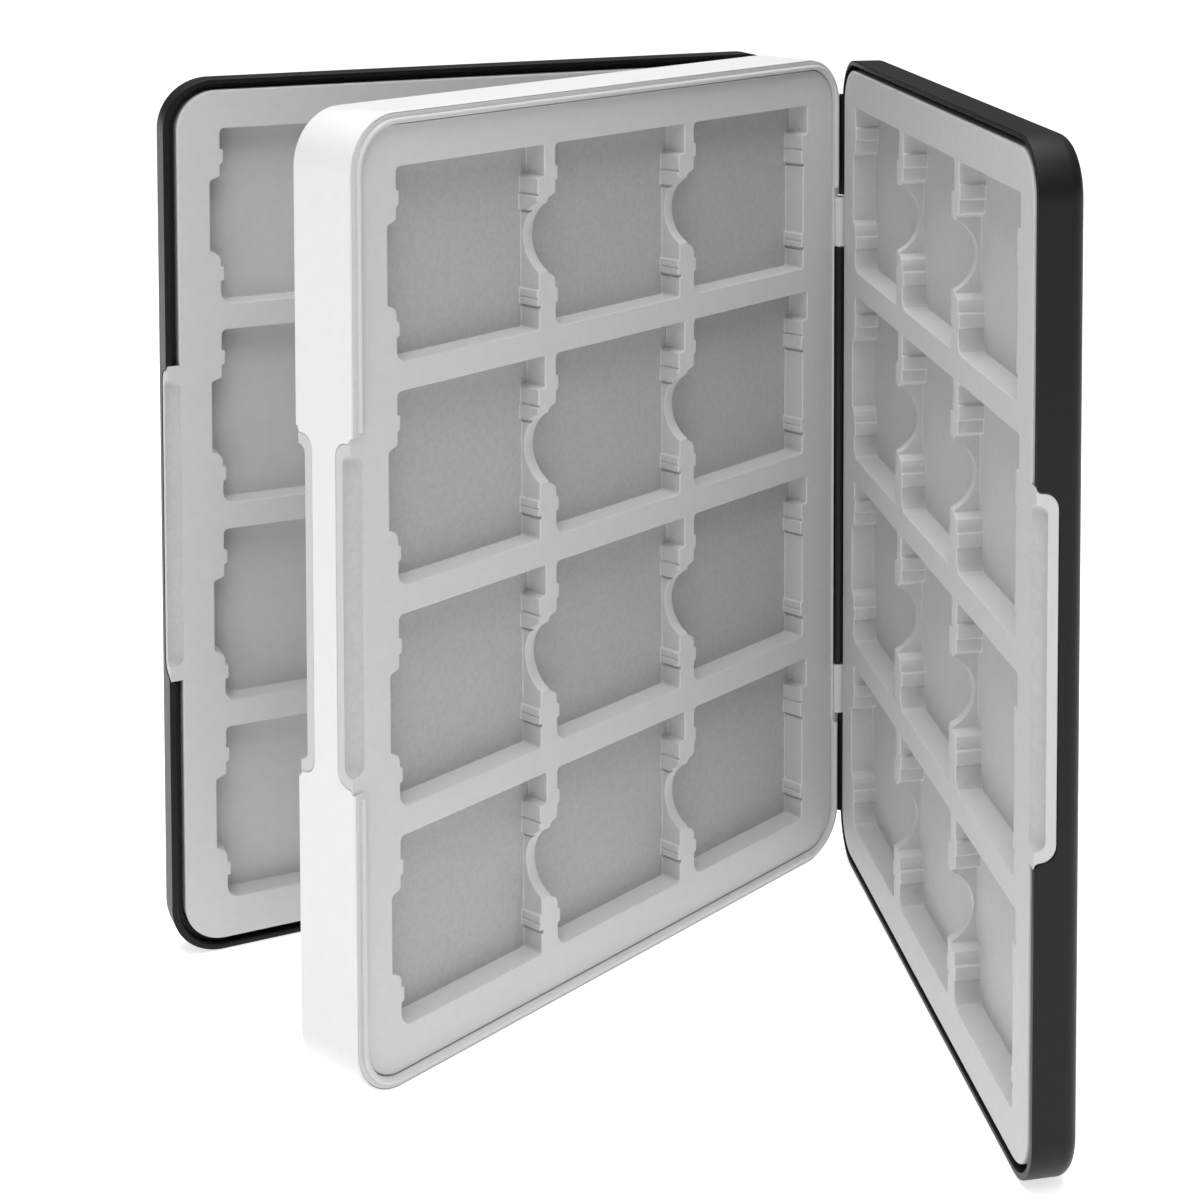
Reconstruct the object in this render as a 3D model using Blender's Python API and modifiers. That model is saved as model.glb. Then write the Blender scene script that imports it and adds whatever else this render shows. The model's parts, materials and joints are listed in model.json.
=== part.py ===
"""Game card case with three leaves: a middle leaf and two covers that swing on
hinges along its spine.  Every leaf face holds a moulded tray with twelve pockets.

Each leaf face is modelled in a flat frame of its own and hung on an empty:
  x runs from left to right as seen by someone who looks at the face, with x = 0
    on the hinge axis, so the leaf lies at +x (side = 1) or at -x (side = -1),
  y runs up from the bottom edge of the leaf,
  z points out of the face, with z = 0 on the hinge axis.
The part stands on its bottom edges.  World origin: middle of the middle leaf's
bottom face.
"""

import math

import bmesh
import bpy
from mathutils import Matrix

MM = 0.001

# Cards and pockets
CARD_WIDTH = 33.0 * MM
CARD_HEIGHT = 35.0 * MM
CARD_THICKNESS = 3.8 * MM
CARD_SIDE_PLAY = 1.25 * MM
CARD_END_PLAY = 0.35 * MM
POCKET_FREEBOARD = 1.3 * MM
COLUMNS = 3
ROWS = 4
DIVIDER_WIDTH = 4.4 * MM
DIVIDER_HEIGHT = 5.3 * MM
TRAY_FLOOR = 1.2 * MM

# Small features of a pocket's wall, seen from the face
LEFT_GRIP = 0.65 * MM
RIGHT_GRIP = 0.5 * MM
GRIP_SLOPE = 0.2 * MM
UPPER_LEFT_GRIP = (4.4 * MM, 7.0 * MM)
LOWER_LEFT_GRIP = (4.9 * MM, 7.4 * MM)
UPPER_RIGHT_GRIP_LENGTH = 3.5 * MM
LOWER_RIGHT_GRIP = (4.5 * MM, 7.4 * MM)
LIP_RECESS_OUT = 1.5 * MM
LIP_RECESS_LENGTH = 6.1 * MM
FINGER_RECESS_OUT = 2.1 * MM
FINGER_RECESS_LENGTH = 14.15 * MM
# Shoulders of the finger recess: steps in from its wall and past its end, and lengths
UPPER_SHOULDER_STEPS = ((0.4 * MM, 0.45 * MM),)
UPPER_SHOULDER_LENGTH = 1.05 * MM
LOWER_SHOULDER_STEPS = ((1.75 * MM, 0.95 * MM), (0.8 * MM, 0.3 * MM))
LOWER_SHOULDER_LENGTH = 1.8 * MM
POCKET_CORNER = 0.7 * MM
POCKET_FOOT_RADIUS = 2.4 * MM
THUMB_RADIUS = 7.3 * MM
THUMB_RISE = 2.9 * MM

# Borders of the tray round its pockets
BORDER_SPINE = 10.2 * MM
BORDER_FREE = 8.65 * MM
BORDER_TOP = 7.8 * MM
BORDER_BOTTOM = 8.2 * MM
TRAY_CORNER = 8.0 * MM

# Rims round the tray
RIM_SPINE = 1.8 * MM
RIM_FREE = 2.65 * MM
RIM_END = 2.25 * MM
LEAF_CORNER = 10.2 * MM

# Cover shells
SHELL_BACK = 1.8 * MM
SHELL_BACK_ROUNDING = 2.5 * MM
GROOVE_WIDTH = 1.25 * MM
GROOVE_DEPTH = 2.2 * MM
FIT = 0.3 * MM

# Middle leaf
WEB = 1.2 * MM
BAND_PROUD = 0.5 * MM
FLANGE_OUT = 1.75 * MM
FLANGE_THICKNESS = 1.0 * MM
LIP_FIT = 0.2 * MM
FRAME_EDGE_ROUNDING = 0.25 * MM
BEAD_INNER = 0.2 * MM
BEAD_OUTER = 1.1 * MM
BEAD_HEIGHT = 1.3 * MM
BEAD_GAP_RELIEF = 0.05 * MM
BLOCK_OVERLAP = 0.5 * MM

# Finger notch in the middle of each free edge, and the tray's tab in it
NOTCH_LENGTH = 62.5 * MM
NOTCH_DEPTH = 4.0 * MM
NOTCH_CORNER = 2.8 * MM
NOTCH_FLARE = 1.0 * MM
TAB_FIT = 0.2 * MM
TAB_SETBACK = 0.1 * MM
TAB_ROOT = 2.0 * MM
FLARE_START = 70    # degrees round the flare where the notch's outline starts
SCOOP_END_WALL = 1.9 * MM
SCOOP_WIDTH = 2.8 * MM
SCOOP_DEPTH = 1.98 * MM
BEAD_END_GAP = 1.8 * MM
BEAD_HINGE_GAP = 1.6 * MM

# Hinges
EDGE_GAP = 0.4 * MM
AXIS_PROUD = 0.4 * MM
BARREL_RADIUS = 1.7 * MM
BARREL_RUN = 0.4 * MM
KNUCKLE_LENGTH = 11.0 * MM
KNUCKLE_SPACING = 105.6 * MM
KNUCKLE_OVERHANG = 0.2 * MM
PIN_RADIUS = 0.75 * MM
PIN_RUN = 0.05 * MM
PIN_IN_BARREL = 8.0 * MM
PIN_INSET = 0.4 * MM

# How far each cover stands open at rest, in degrees from closed
FRONT_OPEN = 51.8
REAR_OPEN = 23.7

# Facets
CORNER_STEPS = 5
SMALL_CORNER_STEPS = 3
ROUND_SIDES = 24
THUMB_SIDES = 28
OVERCUT = 1.0 * MM
BLANK_TOP = 2.0 * MM    # above the face, before a tab is trimmed
TRIM_TOP = 4.0 * MM     # above the face, the top of what trims it
TRIM_MARGIN = 0.1 * MM

# Sizes that follow
POCKET_WIDTH = CARD_WIDTH + 2 * CARD_SIDE_PLAY
POCKET_HEIGHT = CARD_HEIGHT + 2 * CARD_END_PLAY
POCKET_DEPTH = CARD_THICKNESS + POCKET_FREEBOARD
COLUMN_PITCH = POCKET_WIDTH + DIVIDER_WIDTH
ROW_PITCH = POCKET_HEIGHT + DIVIDER_HEIGHT
TRAY_WIDTH = BORDER_SPINE + COLUMNS * COLUMN_PITCH - DIVIDER_WIDTH + BORDER_FREE
TRAY_HEIGHT = BORDER_BOTTOM + ROWS * ROW_PITCH - DIVIDER_HEIGHT + BORDER_TOP
TRAY_THICKNESS = POCKET_DEPTH + TRAY_FLOOR
LEAF_WIDTH = RIM_SPINE + TRAY_WIDTH + RIM_FREE
LEAF_HEIGHT = TRAY_HEIGHT + 2 * RIM_END
LEAF_NEAR = EDGE_GAP
LEAF_FAR = EDGE_GAP + LEAF_WIDTH
TRAY_NEAR = LEAF_NEAR + RIM_SPINE
TRAY_FAR = TRAY_NEAR + TRAY_WIDTH
TRAY_BOTTOM = RIM_END
TRAY_TOP = RIM_END + TRAY_HEIGHT
MID_HEIGHT = LEAF_HEIGHT / 2
FACE = -AXIS_PROUD
SHELL_THICKNESS = TRAY_THICKNESS + FIT + SHELL_BACK
MIDDLE_THICKNESS = 2 * (TRAY_THICKNESS + FIT) + WEB
AXIS_X = LEAF_WIDTH / 2 + EDGE_GAP
AXIS_Y = MIDDLE_THICKNESS / 2 + AXIS_PROUD
HINGE_CLEAR = BARREL_RADIUS + BARREL_RUN
SCOOP_LENGTH = NOTCH_LENGTH - 2 * (TAB_FIT + SCOOP_END_WALL)
KNUCKLE_CENTRES = (MID_HEIGHT - KNUCKLE_SPACING / 2, MID_HEIGHT + KNUCKLE_SPACING / 2)
BARREL_LENGTH = KNUCKLE_SPACING - KNUCKLE_LENGTH - 2 * BARREL_RUN
HINGE_SPAN = KNUCKLE_SPACING + KNUCKLE_LENGTH + 2 * BARREL_RUN


def arc(centre_x, centre_y, radius, start, end, steps):
    """Points on a circle from angle start to angle end, in degrees."""
    points = []
    for step in range(steps + 1):
        angle = math.radians(start + (end - start) * step / steps)
        points.append((centre_x + radius * math.cos(angle), centre_y + radius * math.sin(angle)))
    return points


def rounded_rectangle(x_low, x_high, y_low, y_high, radius):
    """Outline of a rectangle with round corners, anticlockwise."""
    corners = (
        (x_high - radius, y_low + radius, -90),
        (x_high - radius, y_high - radius, 0),
        (x_low + radius, y_high - radius, 90),
        (x_low + radius, y_low + radius, 180),
    )
    outline = []
    for x, y, start in corners:
        outline += arc(x, y, radius, start, start + 90, CORNER_STEPS)
    return outline


def across(side, near, far):
    """Low and high x of a stretch from near to far of the hinge axis."""
    return tuple(sorted((side * near, side * far)))


def tray_outline(side, grow=0.0, spine_grow=None):
    """The tray's outline, or one that lies grow outside it."""
    if spine_grow is None:
        spine_grow = grow
    x_low, x_high = across(side, TRAY_NEAR - spine_grow, TRAY_FAR + grow)
    return rounded_rectangle(x_low, x_high, TRAY_BOTTOM - grow, TRAY_TOP + grow, TRAY_CORNER + grow)


def face_outline(side, grow):
    """The tray's face inside the bead, with the way out over the finger notch."""
    outline = tray_outline(side, grow)
    half = max(y for y, z in notch_outline(TAB_FIT)) - MID_HEIGHT + TRIM_MARGIN
    edge = side * (TRAY_FAR + grow)
    beyond = side * (LEAF_FAR + OVERCUT)
    way_out = [(edge, MID_HEIGHT - half), (beyond, MID_HEIGHT - half),
               (beyond, MID_HEIGHT + half), (edge, MID_HEIGHT + half)]
    corner_points = CORNER_STEPS + 1
    if side > 0:
        return outline[:corner_points] + way_out + outline[corner_points:]
    return outline[:3 * corner_points] + way_out[::-1] + outline[3 * corner_points:]


def leaf_outline(side):
    """The outline of a whole leaf."""
    x_low, x_high = across(side, LEAF_NEAR, LEAF_FAR)
    return rounded_rectangle(x_low, x_high, 0.0, LEAF_HEIGHT, LEAF_CORNER)


def pocket_corners(side):
    """Left x and top y of each pocket, seen from the face."""
    first = TRAY_NEAR + BORDER_SPINE
    if side < 0:
        first = -(first + (COLUMNS - 1) * COLUMN_PITCH + POCKET_WIDTH)
    top = TRAY_TOP - BORDER_TOP
    return [(first + column * COLUMN_PITCH, top - row * ROW_PITCH)
            for row in range(ROWS) for column in range(COLUMNS)]


def pocket_outline(left, top):
    """A pocket's wall: grips that hold the card, a recess at the right for the lip
    at the card's corner and a finger recess in the left wall."""
    right = POCKET_WIDTH
    foot = POCKET_HEIGHT
    middle = POCKET_HEIGHT / 2
    recess_top = middle - FINGER_RECESS_LENGTH / 2
    recess_foot = middle + FINGER_RECESS_LENGTH / 2
    lip_foot = LIP_RECESS_LENGTH + GRIP_SLOPE
    lip_grip_foot = lip_foot + UPPER_RIGHT_GRIP_LENGTH
    low_grip_top = foot - LOWER_RIGHT_GRIP[1]
    low_grip_foot = foot - LOWER_RIGHT_GRIP[0]
    # Each point is (distance from the left wall, distance below the top wall)
    wall = [
        (POCKET_CORNER, 0.0),
        (right + LIP_RECESS_OUT - POCKET_CORNER, 0.0),
        (right + LIP_RECESS_OUT, POCKET_CORNER),
        (right + LIP_RECESS_OUT, LIP_RECESS_LENGTH),
        (right - RIGHT_GRIP, lip_foot),
        (right - RIGHT_GRIP, lip_grip_foot - GRIP_SLOPE),
        (right, lip_grip_foot),
        (right, low_grip_top - GRIP_SLOPE),
        (right - RIGHT_GRIP, low_grip_top),
        (right - RIGHT_GRIP, low_grip_foot),
        (right, low_grip_foot + GRIP_SLOPE),
        (right, foot - POCKET_CORNER),
        (right - POCKET_CORNER, foot),
    ]
    wall += arc(POCKET_FOOT_RADIUS, foot - POCKET_FOOT_RADIUS, POCKET_FOOT_RADIUS,
                90, 180, SMALL_CORNER_STEPS)
    wall += [
        (0.0, foot - LOWER_LEFT_GRIP[0] + GRIP_SLOPE),
        (LEFT_GRIP, foot - LOWER_LEFT_GRIP[0]),
        (LEFT_GRIP, foot - LOWER_LEFT_GRIP[1]),
        (0.0, foot - LOWER_LEFT_GRIP[1] - GRIP_SLOPE),
        (0.0, recess_foot + LOWER_SHOULDER_LENGTH),
        *((into - FINGER_RECESS_OUT, recess_foot + past) for into, past in LOWER_SHOULDER_STEPS),
        (-FINGER_RECESS_OUT, recess_foot),
        (-FINGER_RECESS_OUT, recess_top),
        *((into - FINGER_RECESS_OUT, recess_top - past) for into, past in UPPER_SHOULDER_STEPS),
        (0.0, recess_top - UPPER_SHOULDER_LENGTH),
        (0.0, UPPER_LEFT_GRIP[1] + GRIP_SLOPE),
        (LEFT_GRIP, UPPER_LEFT_GRIP[1]),
        (LEFT_GRIP, UPPER_LEFT_GRIP[0]),
        (0.0, UPPER_LEFT_GRIP[0] - GRIP_SLOPE),
        (0.0, POCKET_CORNER),
    ]
    return [(left + x, top - down) for x, down in wall]


def notch_outline(shrink=0.0):
    """Side view (y, z) of the finger notch, open at the face; shrink gives the tab."""
    half = NOTCH_LENGTH / 2 - shrink
    floor = FACE - NOTCH_DEPTH + shrink
    corner = NOTCH_CORNER
    flare = NOTCH_FLARE
    left = [(MID_HEIGHT - y, z) for y, z in
            [(half + flare * (1 + math.cos(math.radians(FLARE_START))), FACE + BLANK_TOP)]
            + arc(half + flare, FACE - flare, flare, FLARE_START, 180, SMALL_CORNER_STEPS)
            + arc(half - corner, floor + corner, corner, 0, -90, SMALL_CORNER_STEPS)]
    right = [(2 * MID_HEIGHT - y, z) for y, z in reversed(left)]
    return left + right


def new_collection(name):
    """A collection of this name, linked to the scene."""
    collection = bpy.data.collections.new(name)
    bpy.context.scene.collection.children.link(collection)
    return collection


def new_frame(name, x, y, turn):
    """An empty on a hinge axis, turned so that its z leaves the leaf's face."""
    frame = bpy.data.objects.new(name, None)
    frame.matrix_world = (Matrix.Translation((x, y, 0.0)) @ Matrix.Rotation(math.radians(turn), 4, 'Z')
                          @ Matrix.Rotation(math.radians(90), 4, 'X'))
    frame.empty_display_size = 20 * MM
    pieces.objects.link(frame)
    return frame


def place(mesh, name, frame, is_cutter=False):
    """An object for a mesh that is modelled in a leaf's frame."""
    item = bpy.data.objects.new(name, mesh)
    item.parent = frame
    if is_cutter:
        item.hide_render = True
        item.display_type = 'WIRE'
        cutters.objects.link(item)
    else:
        pieces.objects.link(item)
    return item


def plate_mesh(name, outlines, z_low, z_high):
    """A flat plate: filled outlines, pushed from z_low to z_high."""
    curve = bpy.data.curves.new(name, 'CURVE')
    curve.dimensions = '2D'
    curve.fill_mode = 'BOTH'
    curve.extrude = (z_high - z_low) / 2
    for outline in outlines:
        spline = curve.splines.new('POLY')
        spline.points.add(len(outline) - 1)
        for point, (x, y) in zip(spline.points, outline):
            point.co = (x, y, 0.0, 1.0)
        spline.use_cyclic_u = True
    holder = bpy.data.objects.new(name, curve)
    bpy.context.scene.collection.objects.link(holder)
    bpy.context.view_layer.update()
    mesh = bpy.data.meshes.new_from_object(holder.evaluated_get(bpy.context.evaluated_depsgraph_get()))
    bpy.data.objects.remove(holder)
    bpy.data.curves.remove(curve)
    welded = bmesh.new()
    welded.from_mesh(mesh)
    bmesh.ops.remove_doubles(welded, verts=welded.verts, dist=0.00001)
    bmesh.ops.dissolve_limit(welded, angle_limit=math.radians(0.1), verts=welded.verts, edges=welded.edges)
    bmesh.ops.translate(welded, verts=welded.verts, vec=(0.0, 0.0, (z_high + z_low) / 2))
    bmesh.ops.recalc_face_normals(welded, faces=welded.faces)
    welded.to_mesh(mesh)
    welded.free()
    return mesh


def prism_along_x(name, outline, x_low, x_high):
    """A prism whose outline is given as (y, z)."""
    mesh = plate_mesh(name, [outline], x_low, x_high)
    mesh.transform(Matrix(((0, 0, 1, 0), (1, 0, 0, 0), (0, 1, 0, 0), (0, 0, 0, 1))))
    return mesh


def prism_along_y(name, outline, y_low, y_high):
    """A prism whose outline is given as (z, x)."""
    mesh = plate_mesh(name, [outline], y_low, y_high)
    mesh.transform(Matrix(((0, 1, 0, 0), (0, 0, 1, 0), (1, 0, 0, 0), (0, 0, 0, 1))))
    return mesh


def box_mesh(name, x_range, y_range, z_range):
    """A box between the given corners."""
    work = bmesh.new()
    bmesh.ops.create_cube(work, size=1.0)
    spans = [sorted(span) for span in (x_range, y_range, z_range)]
    bmesh.ops.scale(work, verts=work.verts, vec=[high - low for low, high in spans])
    bmesh.ops.translate(work, verts=work.verts, vec=[(high + low) / 2 for low, high in spans])
    mesh = bpy.data.meshes.new(name)
    work.to_mesh(mesh)
    work.free()
    return mesh


def rod_mesh(name, rods):
    """Round rods, each (axis letter, radius, centre, length, sides)."""
    work = bmesh.new()
    for axis, radius, centre, length, sides in rods:
        turn = Matrix.Rotation(math.radians(90), 4, 'X' if axis == 'y' else 'Y')
        bmesh.ops.create_cone(work, cap_ends=True, segments=sides, radius1=radius, radius2=radius,
                              depth=length, matrix=Matrix.Translation(centre) @ turn)
    mesh = bpy.data.meshes.new(name)
    work.to_mesh(mesh)
    work.free()
    return mesh


def joined(name, meshes):
    """One mesh that holds several separate closed bodies."""
    work = bmesh.new()
    for mesh in meshes:
        work.from_mesh(mesh)
    result = bpy.data.meshes.new(name)
    work.to_mesh(result)
    work.free()
    return result


def boolean(item, mesh, operation):
    """Cuts a mesh from a piece, or fuses it on, in the piece's own frame."""
    tool = place(mesh, mesh.name, item.parent, is_cutter=True)
    modifier = item.modifiers.new(mesh.name, 'BOOLEAN')
    modifier.operation = operation
    modifier.solver = 'EXACT'
    modifier.object = tool


def cut(item, mesh):
    """Takes a mesh out of a piece."""
    boolean(item, mesh, 'DIFFERENCE')


def fuse(item, mesh):
    """Makes a mesh part of a piece."""
    boolean(item, mesh, 'UNION')


def round_edges(item, heights, width, segments):
    """Rounds the edges that lie in the planes z = heights."""
    mesh = item.data
    weights = mesh.attributes.new('bevel_weight_edge', 'FLOAT', 'EDGE')
    for edge in mesh.edges:
        ends = [mesh.vertices[index].co.z for index in edge.vertices]
        for height in heights:
            if abs(ends[0] - height) < 0.01 * MM and abs(ends[1] - height) < 0.01 * MM:
                weights.data[edge.index].value = 1.0
    bevel = item.modifiers.new('edge rounding', 'BEVEL')
    bevel.limit_method = 'WEIGHT'
    bevel.width = width
    bevel.segments = segments


def finish(item, colour, roughness, metallic=0.0):
    """Gives a piece its own material and shades its round faces smooth."""
    material = bpy.data.materials.new(item.name)
    material.use_nodes = True
    shader = material.node_tree.nodes['Principled BSDF']
    shader.inputs['Base Color'].default_value = (*colour, 1.0)
    shader.inputs['Roughness'].default_value = roughness
    shader.inputs['Metallic'].default_value = metallic
    item.data.materials.clear()
    item.data.materials.append(material)
    item.data.shade_smooth()
    item.data.set_sharp_from_angle(angle=math.radians(30))


def tab(item, side):
    """Adds the tab that fills the finger notch, still higher than the face."""
    x_low, x_high = across(side, TRAY_FAR - TAB_ROOT, LEAF_FAR - TAB_SETBACK)
    fuse(item, prism_along_x(item.name + '.tab', notch_outline(TAB_FIT), x_low, x_high))


def scoop(item, side):
    """Cuts the sloping scoop in the tab, for a fingertip to pull on."""
    start = LEAF_FAR - TAB_SETBACK - SCOOP_WIDTH
    reach = SCOOP_WIDTH + OVERCUT
    wedge = [(FACE, side * start), (FACE - SCOOP_DEPTH * reach / SCOOP_WIDTH, side * (start + reach)),
             (FACE + OVERCUT, side * (start + reach)), (FACE + OVERCUT, side * start)]
    cut(item, prism_along_y(item.name + '.scoop', wedge,
                            MID_HEIGHT - SCOOP_LENGTH / 2, MID_HEIGHT + SCOOP_LENGTH / 2))


def pockets(item, side):
    """Cuts the pockets, and the thumb notches through the dividers between columns."""
    corners = pocket_corners(side)
    cut(item, joined(item.name + '.pockets', [
        plate_mesh('pocket', [pocket_outline(left, top)], FACE - POCKET_DEPTH, FACE + OVERCUT)
        for left, top in corners]))
    wall = DIVIDER_WIDTH - FINGER_RECESS_OUT
    rods = []
    for index, (left, top) in enumerate(corners):
        if index % COLUMNS < COLUMNS - 1:
            centre = (left + POCKET_WIDTH + wall / 2, top - POCKET_HEIGHT / 2, FACE + THUMB_RISE)
            rods.append(('x', THUMB_RADIUS, centre, wall + OVERCUT, THUMB_SIDES))
    cut(item, rod_mesh(item.name + '.thumb_notches', rods))


def cover_tray(name, frame, side):
    """Tray of a cover: a plain block in the shell, with a groove left round it."""
    tray = place(plate_mesh(name, [tray_outline(side)], FACE - TRAY_THICKNESS, FACE + OVERCUT), name, frame)
    tab(tray, side)
    cut(tray, box_mesh(name + '.above_face', across(side, 0.0, LEAF_FAR + OVERCUT),
                       (-OVERCUT, LEAF_HEIGHT + OVERCUT), (FACE, FACE + TRIM_TOP)))
    scoop(tray, side)
    pockets(tray, side)
    return tray


def bead_gaps(name, side):
    """Boxes that interrupt the bead at the finger notch and along the hinge."""
    notch_half = NOTCH_LENGTH / 2 + BEAD_END_GAP
    hinge_half = HINGE_SPAN / 2 + BEAD_HINGE_GAP
    height = (FACE + BAND_PROUD - BEAD_GAP_RELIEF, FACE + TRIM_TOP)
    return joined(name, [
        box_mesh('gap', across(side, TRAY_FAR - OVERCUT, LEAF_FAR + OVERCUT),
                 (MID_HEIGHT - notch_half, MID_HEIGHT + notch_half), height),
        box_mesh('gap', across(side, -HINGE_CLEAR, TRAY_NEAR + OVERCUT),
                 (MID_HEIGHT - hinge_half, MID_HEIGHT + hinge_half), height)])


def middle_tray(name, frame, side):
    """Tray of the middle leaf.  Its flange lies on the frame and carries the band, the
    raised bead that snaps into the cover's groove, and the hinge knuckles."""
    tray = place(plate_mesh(name, [tray_outline(side, FLANGE_OUT, RIM_SPINE)],
                            FACE - FLANGE_THICKNESS, FACE + BEAD_HEIGHT), name, frame)
    cut(tray, plate_mesh(name + '.outside_bead', [
        rounded_rectangle(*across(side, -LEAF_CORNER, LEAF_FAR + LEAF_CORNER), -LEAF_CORNER,
                          LEAF_HEIGHT + LEAF_CORNER, LEAF_CORNER),
        tray_outline(side, BEAD_OUTER)], FACE + BAND_PROUD, FACE + BEAD_HEIGHT + OVERCUT))
    cut(tray, bead_gaps(name + '.bead_gaps', side))
    room_half = BARREL_LENGTH / 2 + BARREL_RUN + KNUCKLE_OVERHANG
    cut(tray, box_mesh(name + '.barrel_room', across(side, -HINGE_CLEAR, HINGE_CLEAR),
                       (MID_HEIGHT - room_half, MID_HEIGHT + room_half),
                       (FACE - FLANGE_THICKNESS - OVERCUT, HINGE_CLEAR)))
    fuse(tray, plate_mesh(name + '.block', [tray_outline(side)],
                          FACE - TRAY_THICKNESS, FACE - FLANGE_THICKNESS + BLOCK_OVERLAP))
    tab(tray, side)
    cut(tray, plate_mesh(name + '.above_face', [face_outline(side, BEAD_INNER)],
                         FACE, FACE + TRIM_TOP))
    fuse(tray, rod_mesh(name + '.knuckles', [
        ('y', BARREL_RADIUS, (0.0, y, 0.0), KNUCKLE_LENGTH, ROUND_SIDES) for y in KNUCKLE_CENTRES]))
    cut(tray, rod_mesh(name + '.pin_bores', [
        ('y', PIN_RADIUS + PIN_RUN, (0.0, y, 0.0), KNUCKLE_LENGTH + OVERCUT, ROUND_SIDES)
        for y in KNUCKLE_CENTRES]))
    scoop(tray, side)
    pockets(tray, side)
    return tray


def cover_shell(name, frame, side):
    """Cover shell: a shallow box with a rim, cut for the tab and the knuckles, with
    the hinge barrel along its spine."""
    back = FACE - SHELL_THICKNESS
    shell = place(plate_mesh(name, [leaf_outline(side)], back, FACE), name, frame)
    round_edges(shell, [back], SHELL_BACK_ROUNDING, SMALL_CORNER_STEPS)
    cut(shell, plate_mesh(name + '.tray_room', [tray_outline(side, FIT)],
                          FACE - TRAY_THICKNESS - FIT, FACE + OVERCUT))
    cut(shell, plate_mesh(name + '.groove', [tray_outline(side, GROOVE_WIDTH)],
                          FACE - GROOVE_DEPTH, FACE + OVERCUT))
    cut(shell, prism_along_x(name + '.notch', notch_outline(),
                             *across(side, TRAY_FAR - OVERCUT, LEAF_FAR + OVERCUT)))
    fuse(shell, rod_mesh(name + '.barrel', [
        ('y', BARREL_RADIUS, (0.0, MID_HEIGHT, 0.0), BARREL_LENGTH, ROUND_SIDES)]))
    knuckle_half = KNUCKLE_LENGTH / 2 + BARREL_RUN
    cut(shell, joined(name + '.knuckle_room', [
        box_mesh('room', across(side, -HINGE_CLEAR, HINGE_CLEAR), (y - knuckle_half, y + knuckle_half),
                 (-HINGE_CLEAR, HINGE_CLEAR)) for y in KNUCKLE_CENTRES]))
    half = BARREL_LENGTH / 2
    cut(shell, rod_mesh(name + '.pin_bores', [
        ('y', PIN_RADIUS + PIN_RUN, (0.0, MID_HEIGHT + end * half, 0.0),
         2 * (PIN_IN_BARREL + BARREL_RUN), ROUND_SIDES) for end in (-1, 1)]))
    return shell


def middle_frame(name, frame, side):
    """Middle frame: a ring with a web across its middle, and a rabbet on each side
    for a tray's flange.  It is modelled in the front face's frame."""
    rear_face = FACE - MIDDLE_THICKNESS
    front = FACE + BAND_PROUD
    rear = rear_face - BAND_PROUD
    body = place(plate_mesh(name, [leaf_outline(side)], rear, front), name, frame)
    round_edges(body, [front, rear], FRAME_EDGE_ROUNDING, 2)
    for face, out, label in ((FACE, 1, 'front'), (rear_face, -1, 'rear')):
        room = sorted((face - out * (TRAY_THICKNESS + FIT), face + out * (BAND_PROUD + OVERCUT)))
        cut(body, plate_mesh(name + '.tray_room_' + label, [tray_outline(side, FIT)], *room))
        rabbet = sorted((face - out * (FLANGE_THICKNESS + FIT), face + out * (BAND_PROUD + OVERCUT)))
        cut(body, plate_mesh(name + '.rabbet_' + label,
                             [tray_outline(side, FLANGE_OUT + LIP_FIT, RIM_SPINE + OVERCUT)], *rabbet))
        notch = notch_outline()
        if out < 0:
            notch = [(y, FACE + rear_face - z) for y, z in notch]
        cut(body, prism_along_x(name + '.notch_' + label, notch,
                                *across(side, TRAY_FAR - OVERCUT, LEAF_FAR + OVERCUT)))
        axis = face + out * AXIS_PROUD
        cut(body, box_mesh(name + '.hinge_room_' + label, across(side, -HINGE_CLEAR, TRAY_NEAR),
                           (MID_HEIGHT - HINGE_SPAN / 2, MID_HEIGHT + HINGE_SPAN / 2),
                           (axis - out * HINGE_CLEAR, axis + out * HINGE_CLEAR)))
    return body


def hinge_pin(name, frame, end):
    """Steel pin through a knuckle and into the end of the barrel."""
    inner = BARREL_LENGTH / 2 - PIN_IN_BARREL
    outer = KNUCKLE_SPACING / 2 + KNUCKLE_LENGTH / 2 - PIN_INSET
    centre = MID_HEIGHT + end * (inner + outer) / 2
    mesh = rod_mesh(name, [('y', PIN_RADIUS, (0.0, centre, 0.0), outer - inner, ROUND_SIDES)])
    return place(mesh, name, frame)


for old in list(bpy.data.objects):
    bpy.data.objects.remove(old)
pieces = new_collection('game_card_case')
cutters = new_collection('cutters')

LIGHT_GREY = (0.52, 0.52, 0.52)
WHITE = (0.84, 0.84, 0.84)
BLACK = (0.021, 0.021, 0.022)
STEEL = (0.60, 0.60, 0.61)

front_axis = new_frame('front_hinge_axis', AXIS_X, -AXIS_Y, 180 + FRONT_OPEN)
rear_axis = new_frame('rear_hinge_axis', AXIS_X, AXIS_Y, -REAR_OPEN)
middle_front = new_frame('middle_front_face', AXIS_X, -AXIS_Y, 0)
middle_rear = new_frame('middle_rear_face', AXIS_X, AXIS_Y, 180)

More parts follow.
